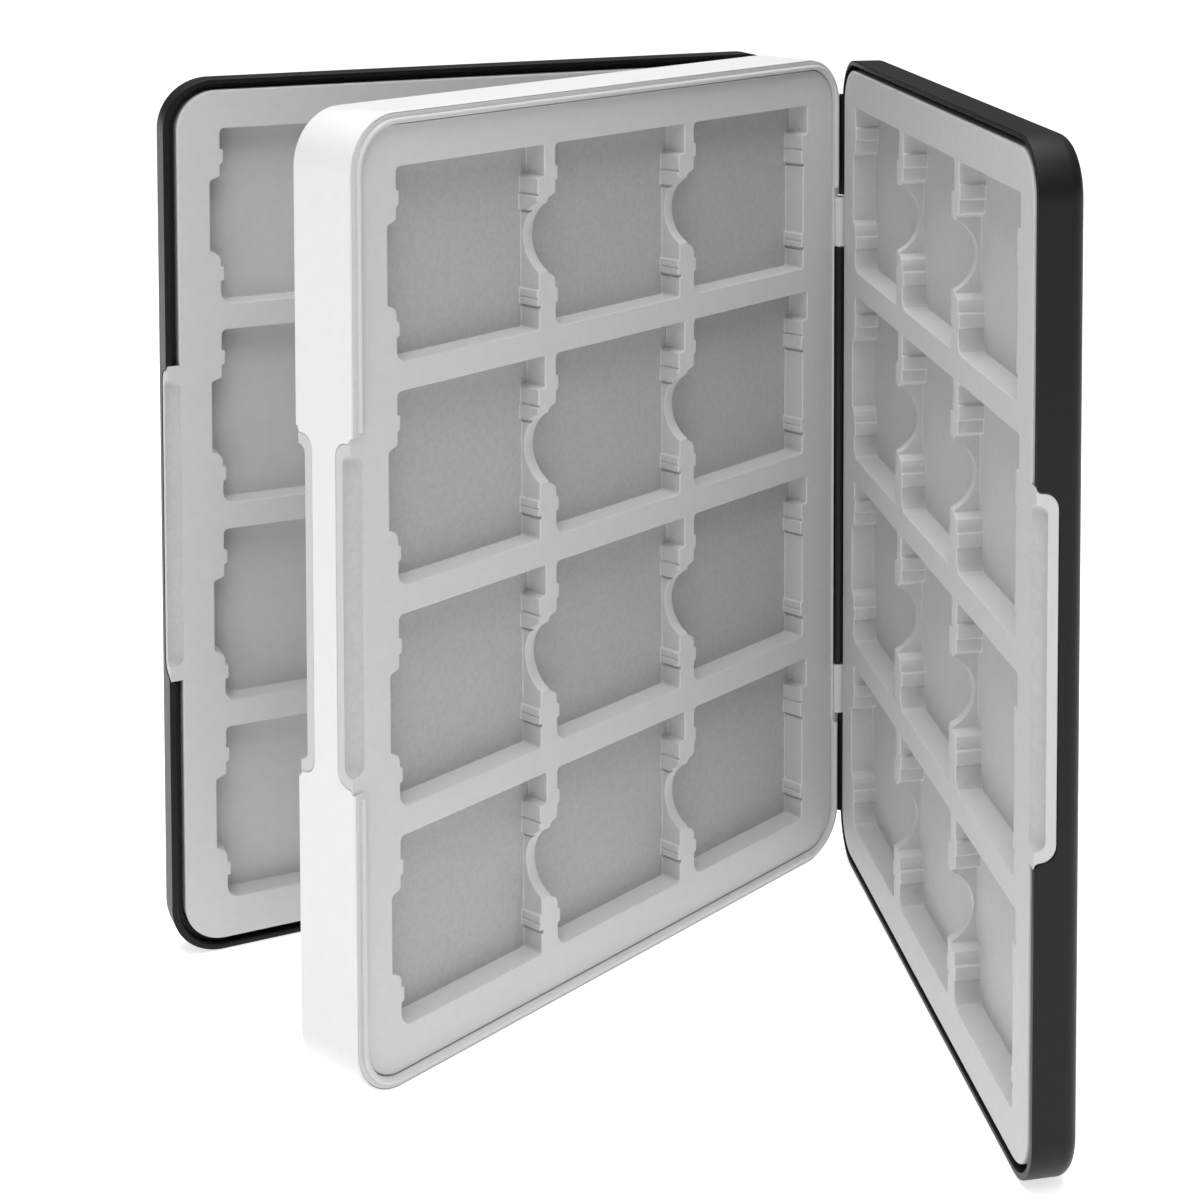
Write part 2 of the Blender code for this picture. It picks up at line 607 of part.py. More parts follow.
finish(middle_frame('middle_frame', middle_front, -1), WHITE, 0.4)
finish(middle_tray('middle_front_tray', middle_front, -1), LIGHT_GREY, 0.5)
finish(middle_tray('middle_rear_tray', middle_rear, 1), LIGHT_GREY, 0.5)
finish(cover_shell('front_cover_shell', front_axis, 1), BLACK, 0.45)
finish(cover_tray('front_cover_tray', front_axis, 1), LIGHT_GREY, 0.5)
finish(cover_shell('rear_cover_shell', rear_axis, -1), BLACK, 0.45)
finish(cover_tray('rear_cover_tray', rear_axis, -1), LIGHT_GREY, 0.5)
for label, frame in (('front', middle_front), ('rear', middle_rear)):
    finish(hinge_pin(label + '_upper_hinge_pin', frame, 1), STEEL, 0.3, 1.0)
    finish(hinge_pin(label + '_lower_hinge_pin', frame, -1), STEEL, 0.3, 1.0)
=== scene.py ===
# %% [markdown]
# # A folding case for game cards
#
# The real case is a set of injection mouldings: a white frame with a light grey
# card tray on each side, and two black covers with a tray each, hinged along one
# edge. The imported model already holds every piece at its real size. This scene
# moulds the pieces again with the fine shape that coarse facets can't show (round
# edges, fillets, smooth arcs), and gives them their plastics.

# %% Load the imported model
import json
import math

import bmesh
import bpy
from mathutils import Euler, Matrix, Vector


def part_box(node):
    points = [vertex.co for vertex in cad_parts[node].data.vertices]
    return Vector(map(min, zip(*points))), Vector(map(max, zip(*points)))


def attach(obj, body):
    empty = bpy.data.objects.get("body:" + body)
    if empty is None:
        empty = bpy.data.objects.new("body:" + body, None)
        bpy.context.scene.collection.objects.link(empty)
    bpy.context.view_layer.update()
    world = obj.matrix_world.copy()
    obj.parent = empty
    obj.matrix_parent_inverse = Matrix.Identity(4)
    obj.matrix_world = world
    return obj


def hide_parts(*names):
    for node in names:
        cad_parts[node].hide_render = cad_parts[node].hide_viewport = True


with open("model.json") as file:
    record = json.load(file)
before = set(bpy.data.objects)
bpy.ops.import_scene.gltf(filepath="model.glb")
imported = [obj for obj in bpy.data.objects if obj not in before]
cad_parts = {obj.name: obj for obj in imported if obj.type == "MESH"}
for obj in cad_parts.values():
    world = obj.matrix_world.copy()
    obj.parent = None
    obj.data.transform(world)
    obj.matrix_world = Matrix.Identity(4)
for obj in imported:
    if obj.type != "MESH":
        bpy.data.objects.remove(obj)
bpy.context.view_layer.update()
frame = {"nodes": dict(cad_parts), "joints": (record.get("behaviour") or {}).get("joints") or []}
MM = 0.001
print("nodes:", ", ".join(sorted(frame["nodes"])))

# %% [markdown]
# ## Sizes
#
# A designer writes a handful of sizes and lets the rest follow. The leaf's outline
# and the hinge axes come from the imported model, so the looks can't drift away from
# it. The rest are the moulder's own sizes, in millimetres.

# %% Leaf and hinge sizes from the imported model
frame_low, frame_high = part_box("middle_frame")
joints = {joint["name"]: joint for joint in frame["joints"]}
front_hinge = joints["front_cover_hinge"]
rear_hinge = joints["rear_cover_hinge"]
AXIS_X = front_hinge["pos_m"][0]
AXIS_Y = -front_hinge["pos_m"][1]
FRONT_OPEN = -front_hinge["range_deg"][0]
REAR_OPEN = -rear_hinge["range_deg"][0]
LEAF_NEAR = AXIS_X - frame_high.x
LEAF_FAR = AXIS_X - frame_low.x
LEAF_HEIGHT = frame_high.z - frame_low.z
MID_HEIGHT = LEAF_HEIGHT / 2

AXIS_PROUD = 0.4 * MM          # the hinge axis stands this far out of the face
FACE = -AXIS_PROUD             # height of a leaf's face in its own frame
BAND_PROUD = 0.5 * MM
MIDDLE_THICKNESS = 2 * (AXIS_Y - AXIS_PROUD)
print(f"leaf {(LEAF_FAR - LEAF_NEAR) / MM:.1f} x {LEAF_HEIGHT / MM:.1f} mm, covers open "
      f"{FRONT_OPEN} and {REAR_OPEN} degrees")

# %% Sizes of trays, rims and hinges
RIM_SPINE = 1.8 * MM
RIM_FREE = 2.65 * MM
RIM_END = 2.25 * MM
LEAF_CORNER = 10.2 * MM
TRAY_CORNER = 8.0 * MM
TRAY_THICKNESS = 6.3 * MM
TRAY_NEAR = LEAF_NEAR + RIM_SPINE
TRAY_FAR = LEAF_FAR - RIM_FREE
TRAY_BOTTOM = RIM_END
TRAY_TOP = LEAF_HEIGHT - RIM_END
FIT = 0.3 * MM

SHELL_BACK = 1.8 * MM
SHELL_THICKNESS = TRAY_THICKNESS + FIT + SHELL_BACK
GROOVE_WIDTH = 1.25 * MM
GROOVE_DEPTH = 2.2 * MM

FLANGE_OUT = 2.0 * MM
FLANGE_THICKNESS = 1.0 * MM
LIP_FIT = 0.08 * MM
BEAD_INNER = 0.05 * MM
BEAD_OUTER = 1.1 * MM
BEAD_HEIGHT = 1.3 * MM
PARTING_GROOVE = (0.3 * MM, 0.9 * MM)      # width and depth, just inside the bead

NOTCH_LENGTH = 62.5 * MM
NOTCH_DEPTH = 4.0 * MM
NOTCH_CORNER = 2.8 * MM
NOTCH_FLARE = 1.0 * MM
FLARE_REACH = 1.05 * NOTCH_FLARE
TAB_FIT = 0.06 * MM
TAB_SETBACK = 0.1 * MM
SCOOP_WIDTH = 2.8 * MM
SCOOP_DEPTH = 1.98 * MM
SCOOP_CURVE = 3.0 * MM
SCOOP_END = 1.7 * MM
SCOOP_RIM = 2.1 * MM
SCOOP_LENGTH = NOTCH_LENGTH - 2 * SCOOP_RIM

BARREL_RADIUS = 1.7 * MM
BARREL_RUN = 0.4 * MM
HINGE_CLEAR = BARREL_RADIUS + BARREL_RUN
KNUCKLE_LENGTH = 11.0 * MM
KNUCKLE_SPACING = 105.6 * MM
KNUCKLES = (MID_HEIGHT - KNUCKLE_SPACING / 2, MID_HEIGHT + KNUCKLE_SPACING / 2)
BARREL_LENGTH = KNUCKLE_SPACING - KNUCKLE_LENGTH - 2 * BARREL_RUN
HINGE_SPAN = KNUCKLE_SPACING + KNUCKLE_LENGTH + 2 * BARREL_RUN
PIN_BORE = 0.8 * MM

# %% Sizes of the card pockets
COLUMNS, ROWS = 3, 4
POCKET_WIDTH = 35.5 * MM
POCKET_HEIGHT = 35.7 * MM
POCKET_DEPTH = 5.1 * MM
COLUMN_WALL = 4.4 * MM
ROW_WALL = 5.3 * MM
COLUMN_PITCH = POCKET_WIDTH + COLUMN_WALL
ROW_PITCH = POCKET_HEIGHT + ROW_WALL
BORDER_SPINE = 10.2 * MM
BORDER_TOP = 7.8 * MM
FINGER_RECESS_OUT = 2.1 * MM
THUMB_RADIUS = 7.3 * MM
THUMB_RISE = 2.9 * MM

# %% [markdown]
# ## One helper for node trees
#
# Materials and Geometry Nodes are both made of nodes. One small function adds a
# node and sets whatever it is given: a socket is linked, anything else becomes the
# value of an input or a setting of the node.

# %% The node helper and the colour helper
def add_node(tree, kind, values=None, **settings):
    """Adds a node. values go to its inputs (a socket is linked), settings to the node."""
    node = tree.nodes.new(kind)
    for name, value in settings.items():
        setattr(node, name, value)
    for name, value in (values or {}).items():
        if isinstance(value, bpy.types.NodeSocket):
            tree.links.new(value, node.inputs[name])
        else:
            node.inputs[name].default_value = value
    return node


def hex_colour(text):
    """An sRGB hex colour as linear red, green, blue and alpha."""
    channels = [int(text[index:index + 2], 16) / 255 for index in (1, 3, 5)]
    linear = [c / 12.92 if c <= 0.04045 else ((c + 0.055) / 1.055) ** 2.4 for c in channels]
    return (*linear, 1.0)


# %% [markdown]
# ## The plastics
#
# All three plastics are injection moulded ABS. The tool's surface decides the look:
# spark erosion leaves a fine even grain, which the melt copies. Grain is bump, and a
# little mottle comes from the way light enters the plastic. The floors and side walls
# of the pockets and the finger scoops are grained more coarsely than the faces, and
# their grey is darkened there too, which is painted shade for the shadow in these
# hollows. The grain reads Object coordinates, so its size is a real one.

# %% Helpers for materials
def new_material(name):
    """A material and its node tree, which is still empty."""
    material = bpy.data.materials.new(name)
    material.use_nodes = True
    material.node_tree.nodes.clear()
    return material, material.node_tree


def noise(tree, place, size, detail, roughness):
    """Noise whose grains have a size in metres."""
    return add_node(tree, "ShaderNodeTexNoise", {
        "Vector": place, "Scale": 1 / size, "Detail": detail, "Roughness": roughness}).outputs["Fac"]


def two_tone(tree, factor, low, high, first, second):
    """Fades from one hex colour to another while a factor goes from low to high."""
    fade = add_node(tree, "ShaderNodeMapRange", {"Value": factor, "From Min": low, "From Max": high})
    return add_node(tree, "ShaderNodeMix", {
        "Factor": fade.outputs["Result"], 6: hex_colour(first), 7: hex_colour(second)},
        data_type="RGBA").outputs[2]


# %% A moulded plastic
MOTTLE_SIZE = 2.5 * MM
SPECKLE_SIZE = 1.1 * MM


def moulded_abs(name, colour, shade, roughness, grain, grain_depth, ior=1.52, painted_shade_and_grain=None):
    """Grained ABS. grain is its spacing and grain_depth its height, in metres; shade is
    the darker colour of its mottle. The last argument is (light tint, dark tint, extra
    height) for faces marked for coarser grain: there the bump grows by the extra height,
    and the colour is multiplied by a speckle between the two tints, which is painted shade."""
    material, tree = new_material(name)
    place = add_node(tree, "ShaderNodeTexCoord").outputs["Object"]
    share = add_node(tree, "ShaderNodeAttribute", attribute_name="coarse_grain_and_painted_shade").outputs["Fac"]
    painted_shade_light, painted_shade_dark, extra_height = painted_shade_and_grain or ("#ffffff", "#ffffff", 0.0)
    fine = noise(tree, place, grain, 2.0, 0.6)
    cloud = noise(tree, place, MOTTLE_SIZE, 4.0, 0.65)
    mottle = two_tone(tree, cloud, 0.35, 0.65, colour, shade)
    # The speckle between two light greys darkens the coarsely grained faces. Its spread is random;
    # its darkening is painted shade for the shadow in pockets and scoops.
    specks = noise(tree, place, SPECKLE_SIZE, 5.0, 0.75)
    shaded_speckle = two_tone(tree, specks, 0.4, 0.6, painted_shade_light, painted_shade_dark)
    tint = add_node(tree, "ShaderNodeMix", {"Factor": share, 6: mottle, 7: shaded_speckle},
                    data_type="RGBA", blend_type="MULTIPLY")
    gloss = add_node(tree, "ShaderNodeMapRange", {
        "Value": fine, "From Min": 0.3, "From Max": 0.7,
        "To Min": roughness - 0.04, "To Max": roughness + 0.06})
    height = add_node(tree, "ShaderNodeMath", {0: share, 1: extra_height, 2: 1.0},
                      operation="MULTIPLY_ADD")
    relief = add_node(tree, "ShaderNodeBump", {
        "Height": fine, "Strength": height.outputs[0], "Distance": grain_depth})
    surface = add_node(tree, "ShaderNodeBsdfPrincipled", {
        "Base Color": tint.outputs[2], "Roughness": gloss.outputs["Result"],
        "Normal": relief.outputs["Normal"], "IOR": ior})
    add_node(tree, "ShaderNodeOutputMaterial", {"Surface": surface.outputs["BSDF"]})
    return material


# Light grey ABS, matt: soft highlights only, grain felt rather than seen. Its two light greys darken
# the pocket floors, side walls and scoops as painted shade.
grey_abs = moulded_abs("grey_abs_matt_grain_and_painted_shade", "#cdcdcd", "#cacaca", 0.6, 0.30 * MM, 0.012 * MM,
                       painted_shade_and_grain=("#e2e2e2", "#d8d8d8", 2.5))
# White ABS, satin: the frame's smooth tool surface gives it a slight sheen
white_abs = moulded_abs("white_abs_satin", "#e9e9e9", "#e7e7e7", 0.42, 0.50 * MM, 0.004 * MM)
# Black ABS, fine matt grain: dark, with a broad soft reflection at grazing angles
black_abs = moulded_abs("black_abs_fine_grain", "#171717", "#151515", 0.4, 0.25 * MM, 0.006 * MM,
                        ior=1.3)
print("plastics:", grey_abs.name, white_abs.name, black_abs.name)


# %% [markdown]
# The hinge pins are cut from bright drawn steel wire. Drawing leaves fine lines
# along the wire, so the noise is stretched along Z, the axis the pins lie on.

# %% Drawn steel wire
WIRE_LINE_WIDTH = 0.15 * MM
WIRE_LINE_DEPTH = 0.004 * MM


def drawn_steel(name):
    """Bright drawn wire with fine lengthwise lines."""
    material, tree = new_material(name)
    place = add_node(tree, "ShaderNodeTexCoord").outputs["Object"]
    along = add_node(tree, "ShaderNodeMapping", {"Vector": place, "Scale": (1, 1, 0.05)})
    lines = noise(tree, along.outputs["Vector"], WIRE_LINE_WIDTH, 3.0, 0.5)
    gloss = add_node(tree, "ShaderNodeMapRange", {"Value": lines, "To Min": 0.22, "To Max": 0.38})
    relief = add_node(tree, "ShaderNodeBump", {
        "Height": lines, "Strength": 0.3, "Distance": WIRE_LINE_DEPTH})
    surface = add_node(tree, "ShaderNodeBsdfPrincipled", {
        "Base Color": hex_colour("#b9b9ba"), "Metallic": 1.0,
        "Roughness": gloss.outputs["Result"], "Normal": relief.outputs["Normal"]})
    add_node(tree, "ShaderNodeOutputMaterial", {"Surface": surface.outputs["BSDF"]})
    return material


steel = drawn_steel("steel_drawn_wire")
print("metal:", steel.name)

# %% [markdown]
# ## Plates: an outline with thickness and round ends
#
# Nearly every feature of a moulding is a plate: an outline with round corners, given
# a thickness. No moulded edge is sharp, because the tool's cutter leaves a radius, and
# light catches on it. So a plate is lofted through copies of its outline, and near
# each end the copies shrink or grow along a quarter circle. Bevelling the edges after
# the cuts would give the same look, but it fails where small features crowd.

# %% Outline with round corners
TINY = 0.001 * MM
USABLE_EDGE = 0.998            # the part of an edge that its two corners share


def corner_room(edge, radius, other):
    """How much of an edge a corner may take up: its share by radius."""
    return USABLE_EDGE * edge.length * radius / max(radius + other, TINY)


def outline_points(corners, arc_points):
    """Points of a closed outline from (x, y, corner radius), anticlockwise."""
    points = []
    for index, (x, y, radius) in enumerate(corners):
        here = Vector((x, y))
        last = corners[index - 1]
        following = corners[(index + 1) % len(corners)]
        before = Vector(last[:2]) - here
        after = Vector(following[:2]) - here
        half = before.angle(after) / 2
        run = min(radius / math.tan(half), corner_room(before, radius, last[2]),
                  corner_room(after, radius, following[2]))
        if run < TINY:
            points.append(here)
            continue
        start = here + run * before.normalized()
        finish = here + run * after.normalized()
        bisector = (before.normalized() + after.normalized()).normalized()
        middle = here + bisector * run / math.cos(half)
        swing = (start - middle).angle_signed(finish - middle)
        for step in range(arc_points + 1):
            turn = Matrix.Rotation(-swing * step / arc_points, 2)
            points.append(middle + turn @ (start - middle))
    area = sum(a.cross(b) for a, b in zip(points, points[1:] + points[:1]))
    return points if area > 0 else points[::-1]


def offset_points(points, distance):
    """The outline moved out by a distance, with mitred corners."""
    moved = []
    for index, point in enumerate(points):
        ahead = (points[(index + 1) % len(points)] - point).normalized()
        behind = (point - points[index - 1]).normalized()
        out_ahead = Vector((ahead.y, -ahead.x))
        out_behind = Vector((behind.y, -behind.x))
        moved.append(point + (out_ahead + out_behind) * distance / (1 + out_ahead.dot(out_behind)))
    return moved


# %% Plates
OVERCUT = 1.0 * MM             # how far a cutter reaches past the surface it opens
EDGE_STEPS = 4
LARGE_EDGE_STEPS = 8


def end_profile(height, inward, radius, steps):
    """Heights and offsets at one end of a plate. A positive radius rounds the end; a
    negative one flares it out, and the plate carries on past the end."""
    levels = [] if radius >= 0 else [(height - inward * OVERCUT, -radius)]
    for step in range(steps if radius else 0, -1, -1):
        turn = math.radians(90) * step / steps
        rise = abs(radius) * (1 - math.sin(turn))
        levels.append((height + inward * rise, -radius * (1 - math.cos(turn))))
    return levels


def plate(corners, low, high, arc_points=6, low_edge=0.0, high_edge=0.0, steps=EDGE_STEPS):
    """A plate from z = low to high. corners are (x, y, corner radius), or ready (x, y)."""
    if len(corners[0]) == 3:
        flat = outline_points(corners, arc_points)
    else:
        flat = [Vector(corner) for corner in corners]
    levels = end_profile(low, 1, low_edge, steps) + end_profile(high, -1, high_edge, steps)[::-1]
    work = bmesh.new()
    rings = [[work.verts.new((x, y, height)) for x, y in offset_points(flat, offset)]
             for height, offset in levels]
    work.faces.new(rings[0][::-1])
    work.faces.new(rings[-1])
    for lower, upper in zip(rings, rings[1:]):
        for index in range(len(flat)):
            after = (index + 1) % len(flat)
            work.faces.new((lower[index], lower[after], upper[after], upper[index]))
    mesh = bpy.data.meshes.new("plate")
    work.to_mesh(mesh)
    work.free()
    return mesh


# %% Boxes and rods
# These turn a plate drawn as (y, z) to run along x, or one drawn as (z, x) along y
TO_X = Matrix(((0, 0, 1, 0), (1, 0, 0, 0), (0, 1, 0, 0), (0, 0, 0, 1)))
TO_Y = Matrix(((0, 1, 0, 0), (0, 0, 1, 0), (1, 0, 0, 0), (0, 0, 0, 1)))


def turned(mesh, matrix):
    """A mesh turned or moved by a matrix."""
    mesh.transform(matrix)
    return mesh


def rounded(x_range, y_low, y_high, radius):
    """Corners of a rectangle with one corner radius."""
    x_low, x_high = x_range
    return [(x_low, y_low, radius), (x_high, y_low, radius),
            (x_high, y_high, radius), (x_low, y_high, radius)]


def box(x_range, y_range, z_range):
    """A sharp box between the given coordinates."""
    return plate(rounded(sorted(x_range), *sorted(y_range), 0), *sorted(z_range))


def rod(radius, middle, length, edge=0.0, arc_points=14):
    """A round rod along y."""
    circle = rounded((-radius, radius), -radius, radius, radius)
    bar = plate(circle, middle - length / 2, middle + length / 2, arc_points, edge, edge)
    return turned(bar, TO_Y)


# %% [markdown]
# ## Geometry Nodes: copies on a grid, ridges along a path
#
# Twelve equal pockets on a grid, and a bead that follows the tray's outline: both are
# made by Geometry Nodes. The first tree sets copies of a mesh on a grid. The second
# rounds the corners of a path, lets its ends taper off like the end of a finger, and
# sweeps a rounded bar along it.

# %% How both trees begin and end
def tree_with(name, inputs):
    """An empty Geometry Nodes tree with a geometry input and the named ones."""
    tree = bpy.data.node_groups.new(name, "GeometryNodeTree")
    tree.interface.new_socket("Geometry", in_out="INPUT", socket_type="NodeSocketGeometry")
    for label, kind in inputs.items():
        tree.interface.new_socket(label, in_out="INPUT", socket_type=f"NodeSocket{kind}")
    tree.interface.new_socket("Geometry", in_out="OUTPUT", socket_type="NodeSocketGeometry")
    return tree, add_node(tree, "NodeGroupInput").outputs


def finish_tree(tree, geometry, material):
    """Ends a tree with real geometry and its material."""
    real = add_node(tree, "GeometryNodeRealizeInstances", {"Geometry": geometry})
    painted = add_node(tree, "GeometryNodeSetMaterial", {
        "Geometry": real.outputs["Geometry"], "Material": material})
    add_node(tree, "NodeGroupOutput", {"Geometry": painted.outputs["Geometry"]})
    return tree


# %% Copies on a grid
def grid_tree():
    """Sets copies of a mesh on a grid centred on the origin."""
    tree, given = tree_with("copies_on_grid", {
        "Columns": "Int", "Rows": "Int", "Width": "Float", "Height": "Float",
        "Material": "Material"})
    grid = add_node(tree, "GeometryNodeMeshGrid", {
        "Size X": given["Width"], "Size Y": given["Height"],
        "Vertices X": given["Columns"], "Vertices Y": given["Rows"]})
    copies = add_node(tree, "GeometryNodeInstanceOnPoints", {
        "Points": grid.outputs["Mesh"], "Instance": given["Geometry"]})
    return finish_tree(tree, copies.outputs["Instances"], given["Material"])


GRID = grid_tree()
print("tree:", GRID.name)


# %% A ridge along a path
def ridge_tree():
    """Sweeps a rounded bar along a path whose points hold the corner radius. Near each end
    the bar shrinks as the root of 1 - t squared, so that it ends round."""
    tree, given = tree_with("ridge_along_path", {
        "Width": "Float", "Height": "Float", "Edge radius": "Float", "Taper": "Float",
        "Arc points": "Int", "Material": "Material"})
    radius = add_node(tree, "GeometryNodeInputRadius")
    path = add_node(tree, "GeometryNodeFilletCurve", {
        "Curve": given["Geometry"], "Count": given["Arc points"],
        "Radius": radius.outputs["Radius"], "Limit Radius": True}, mode="POLY")
    total = add_node(tree, "GeometryNodeCurveLength", {"Curve": path.outputs["Curve"]})
    along = add_node(tree, "GeometryNodeSplineParameter").outputs["Length"]
    left = add_node(tree, "ShaderNodeMath", {0: total.outputs["Length"], 1: along},
                    operation="SUBTRACT")
    nearest = add_node(tree, "ShaderNodeMath", {0: along, 1: left.outputs[0]},
                       operation="MINIMUM")
    away = add_node(tree, "ShaderNodeMapRange", {
        "Value": nearest.outputs[0], "From Max": given["Taper"], "To Min": 0.98, "To Max": 0.0})
    square = add_node(tree, "ShaderNodeMath", {
        0: away.outputs["Result"], 1: away.outputs["Result"]}, operation="MULTIPLY")
    rest = add_node(tree, "ShaderNodeMath", {0: 1.0, 1: square.outputs[0]}, operation="SUBTRACT")
    scale = add_node(tree, "ShaderNodeMath", {0: rest.outputs[0]}, operation="SQRT")
    bar = add_node(tree, "GeometryNodeCurvePrimitiveQuadrilateral", {
        "Width": given["Width"], "Height": given["Height"]})
    soft = add_node(tree, "GeometryNodeFilletCurve", {
        "Curve": bar.outputs["Curve"], "Count": 4, "Radius": given["Edge radius"]}, mode="POLY")
    swept = add_node(tree, "GeometryNodeCurveToMesh", {
        "Curve": path.outputs["Curve"], "Profile Curve": soft.outputs["Curve"],
        "Scale": scale.outputs[0], "Fill Caps": True})
    return finish_tree(tree, swept.outputs["Mesh"], given["Material"])


RIDGE = ridge_tree()
print("tree:", RIDGE.name)


# %% Run a tree and keep its mesh
MERGE_DISTANCE = 0.0005 * MM
RIDGE_ARC = 14


def placed(name, data):
    """An object in the scene for some data."""
    item = bpy.data.objects.new(name, data)
    bpy.context.scene.collection.objects.link(item)
    return item


def evaluated_mesh(item):
    """The mesh of an object after its modifiers. The object itself goes."""
    bpy.context.view_layer.update()
    result = item.evaluated_get(bpy.context.evaluated_depsgraph_get())
    mesh = bpy.data.meshes.new_from_object(result)
    bpy.data.objects.remove(item)
    return mesh


def grown(data, tree, values):
    """The mesh that a Geometry Nodes tree makes from a curve or mesh."""
    holder = placed("holder", data)
    modifier = holder.modifiers.new("nodes", "NODES")
    modifier.node_group = tree
    for item in tree.interface.items_tree:
        if item.in_out == "INPUT" and item.name in values:
            modifier[item.identifier] = values[item.name]
    return evaluated_mesh(holder)


def on_grid(mesh, columns, centre):
    """Copies of a mesh on the pocket grid, round a centre in the leaf's plane."""
    copies = grown(mesh, GRID, {
        "Columns": columns, "Rows": ROWS, "Width": (columns - 1) * COLUMN_PITCH,
        "Height": (ROWS - 1) * ROW_PITCH, "Material": grey_abs})
    return turned(copies, Matrix.Translation((*centre, 0)))


def ridge(path, height, width, thickness, edge, taper):
    """A rounded bar of a width and thickness along path points (x, y, corner radius)."""
    curve = bpy.data.curves.new("path", "CURVE")
    curve.dimensions = "3D"
    spline = curve.splines.new("POLY")
    spline.points.add(len(path) - 1)
    for point, (x, y, radius) in zip(spline.points, path):
        point.co = (x, y, height, 1.0)
        point.radius = radius
    mesh = grown(curve, RIDGE, {
        "Width": width, "Height": thickness, "Edge radius": edge, "Taper": taper,
        "Arc points": RIDGE_ARC, "Material": grey_abs})
    work = bmesh.new()
    work.from_mesh(mesh)
    bmesh.ops.remove_doubles(work, verts=work.verts, dist=MERGE_DISTANCE)
    bmesh.ops.recalc_face_normals(work, faces=work.faces)
    work.to_mesh(mesh)
    work.free()
    return mesh


# %% [markdown]
# ## Cutting and joining
#
# A moulding tool is cut from steel with cutters, and Booleans work the same way. Each
# step evaluates one Boolean and keeps the resulting mesh, so the next step starts from
# a plain mesh and nothing stays live. The manifold solver gives closed meshes even
# where round surfaces nearly touch, and needs closed ones to start from.

# %% Booleans that return plain meshes
def combined(mesh, tool, operation):
    """One Boolean of two closed meshes, as a new mesh."""
    body = placed("body", mesh)
    cutter = placed("cutter", tool)
    modifier = body.modifiers.new("boolean", "BOOLEAN")
    modifier.operation = operation
    modifier.solver = "MANIFOLD"
    modifier.object = cutter
    result = evaluated_mesh(body)
    bpy.data.objects.remove(cutter)
    return result


def cut(mesh, *tools):
    """Takes each tool out of the mesh."""
    for tool in tools:
        mesh = combined(mesh, tool, "DIFFERENCE")
    return mesh


def fused(mesh, *tools):
    """Adds each tool to the mesh."""
    for tool in tools:
        mesh = combined(mesh, tool, "UNION")
    return mesh


# %% [markdown]
# ## Leaves and their outlines
#
# Every leaf is modelled flat, seen from its face: x runs to the right with zero on
# the hinge axis, y runs up, z comes out of the face. side is 1 for a leaf that lies
# to the right of its hinge and -1 for one to the left. The finished mesh is then
# turned into the place where the leaf stands.

# %% Outlines and leaf frames
LEAF_ARC = 24
NOTCH_OPEN_TOP = 2.0 * MM      # the notch's cutter ends this far above the face


def across(side, near, far):
    """Low and high x of a stretch from near to far of the hinge axis."""
    return tuple(sorted((side * near, side * far)))


def tray_outline(side, grow=0.0, spine_grow=None):
    """The tray's outline, or one that lies grow outside it."""
    spine = grow if spine_grow is None else spine_grow
    return rounded(across(side, TRAY_NEAR - spine, TRAY_FAR + grow),
                   TRAY_BOTTOM - grow, TRAY_TOP + grow, TRAY_CORNER + grow)


def leaf_outline(side):
    """The outline of a whole leaf."""
    return rounded(across(side, LEAF_NEAR, LEAF_FAR), 0, LEAF_HEIGHT, LEAF_CORNER)


def notch_outline(shrink=0.0):
    """Side view (y, z) of the finger notch, open at the face; shrink gives the tab."""
    half = NOTCH_LENGTH / 2 - shrink
    low, high = MID_HEIGHT - half, MID_HEIGHT + half
    foot, top = FACE - NOTCH_DEPTH + shrink, FACE + NOTCH_OPEN_TOP
    return [(low - FLARE_REACH, top, 0), (low - FLARE_REACH, FACE, 0),
            (low, FACE, NOTCH_FLARE), (low, foot, NOTCH_CORNER),
            (high, foot, NOTCH_CORNER), (high, FACE, NOTCH_FLARE),
            (high + FLARE_REACH, FACE, 0), (high + FLARE_REACH, top, 0)]


def leaf_frame(x, y, turn):
    """Where a leaf stands: on its hinge axis, turned so that z leaves its face."""
    upright = Matrix.Rotation(math.radians(90), 4, "X")
    return Matrix.Translation((x, y, 0)) @ Matrix.Rotation(math.radians(turn), 4, "Z") @ upright


FRONT_COVER = leaf_frame(AXIS_X, -AXIS_Y, 180 + FRONT_OPEN)
REAR_COVER = leaf_frame(AXIS_X, AXIS_Y, -REAR_OPEN)
MIDDLE_FRONT = leaf_frame(AXIS_X, -AXIS_Y, 0)
MIDDLE_REAR = leaf_frame(AXIS_X, AXIS_Y, 180)

# %% [markdown]
# ## The card pockets
#
# The pocket's wall is one outline with grips that hold the card, a finger recess and
# a lip recess. The thumb notch is a round bowl cut through the wall between two
# columns, and its section is drawn with arcs from a formula.

# %% The pocket's wall
POCKET_WALL = [      # (right of the left wall, below the top wall, corner radius), in mm
    (0, 0, 1.0), (37.0, 0, 0.35), (37.0, 6.1, 0.3),
    (35.2, 6.3, 0.3), (35.2, 9.3, 0), (35.5, 9.35, 0), (35.5, 9.75, 0),
    (35.0, 9.95, 0.3), (35.0, 12.6, 0), (36.0, 12.65, 0), (36.0, 13.2, 0), (35.5, 13.35, 0),
    (35.5, 27.9, 0.3), (35.0, 28.15, 0.3), (35.0, 29.4, 0), (35.25, 29.45, 0), (35.25, 29.8, 0),
    (35.0, 29.95, 0), (35.0, 31.0, 0), (36.0, 31.05, 0), (36.0, 31.6, 0), (35.5, 31.75, 0),
    (35.5, 35.7, 0.6), (0, 35.7, 2.4),
    (0, 31.0, 0.3), (0.65, 30.8, 0.3), (0.65, 28.3, 0.3), (0, 28.1, 0.3),
    (0, 26.725, 0.8), (-0.35, 25.875, 0.6), (-1.3, 25.225, 0.4),
    (-2.1, 24.925, 0.3), (-2.1, 10.775, 0.3), (-1.7, 10.325, 0.3), (0, 9.725, 0.5),
    (0, 7.2, 0.3), (0.65, 7.0, 0.3), (0.65, 4.4, 0.3), (0, 4.2, 0.3),
]
print("the pocket's wall has", len(POCKET_WALL), "corners")

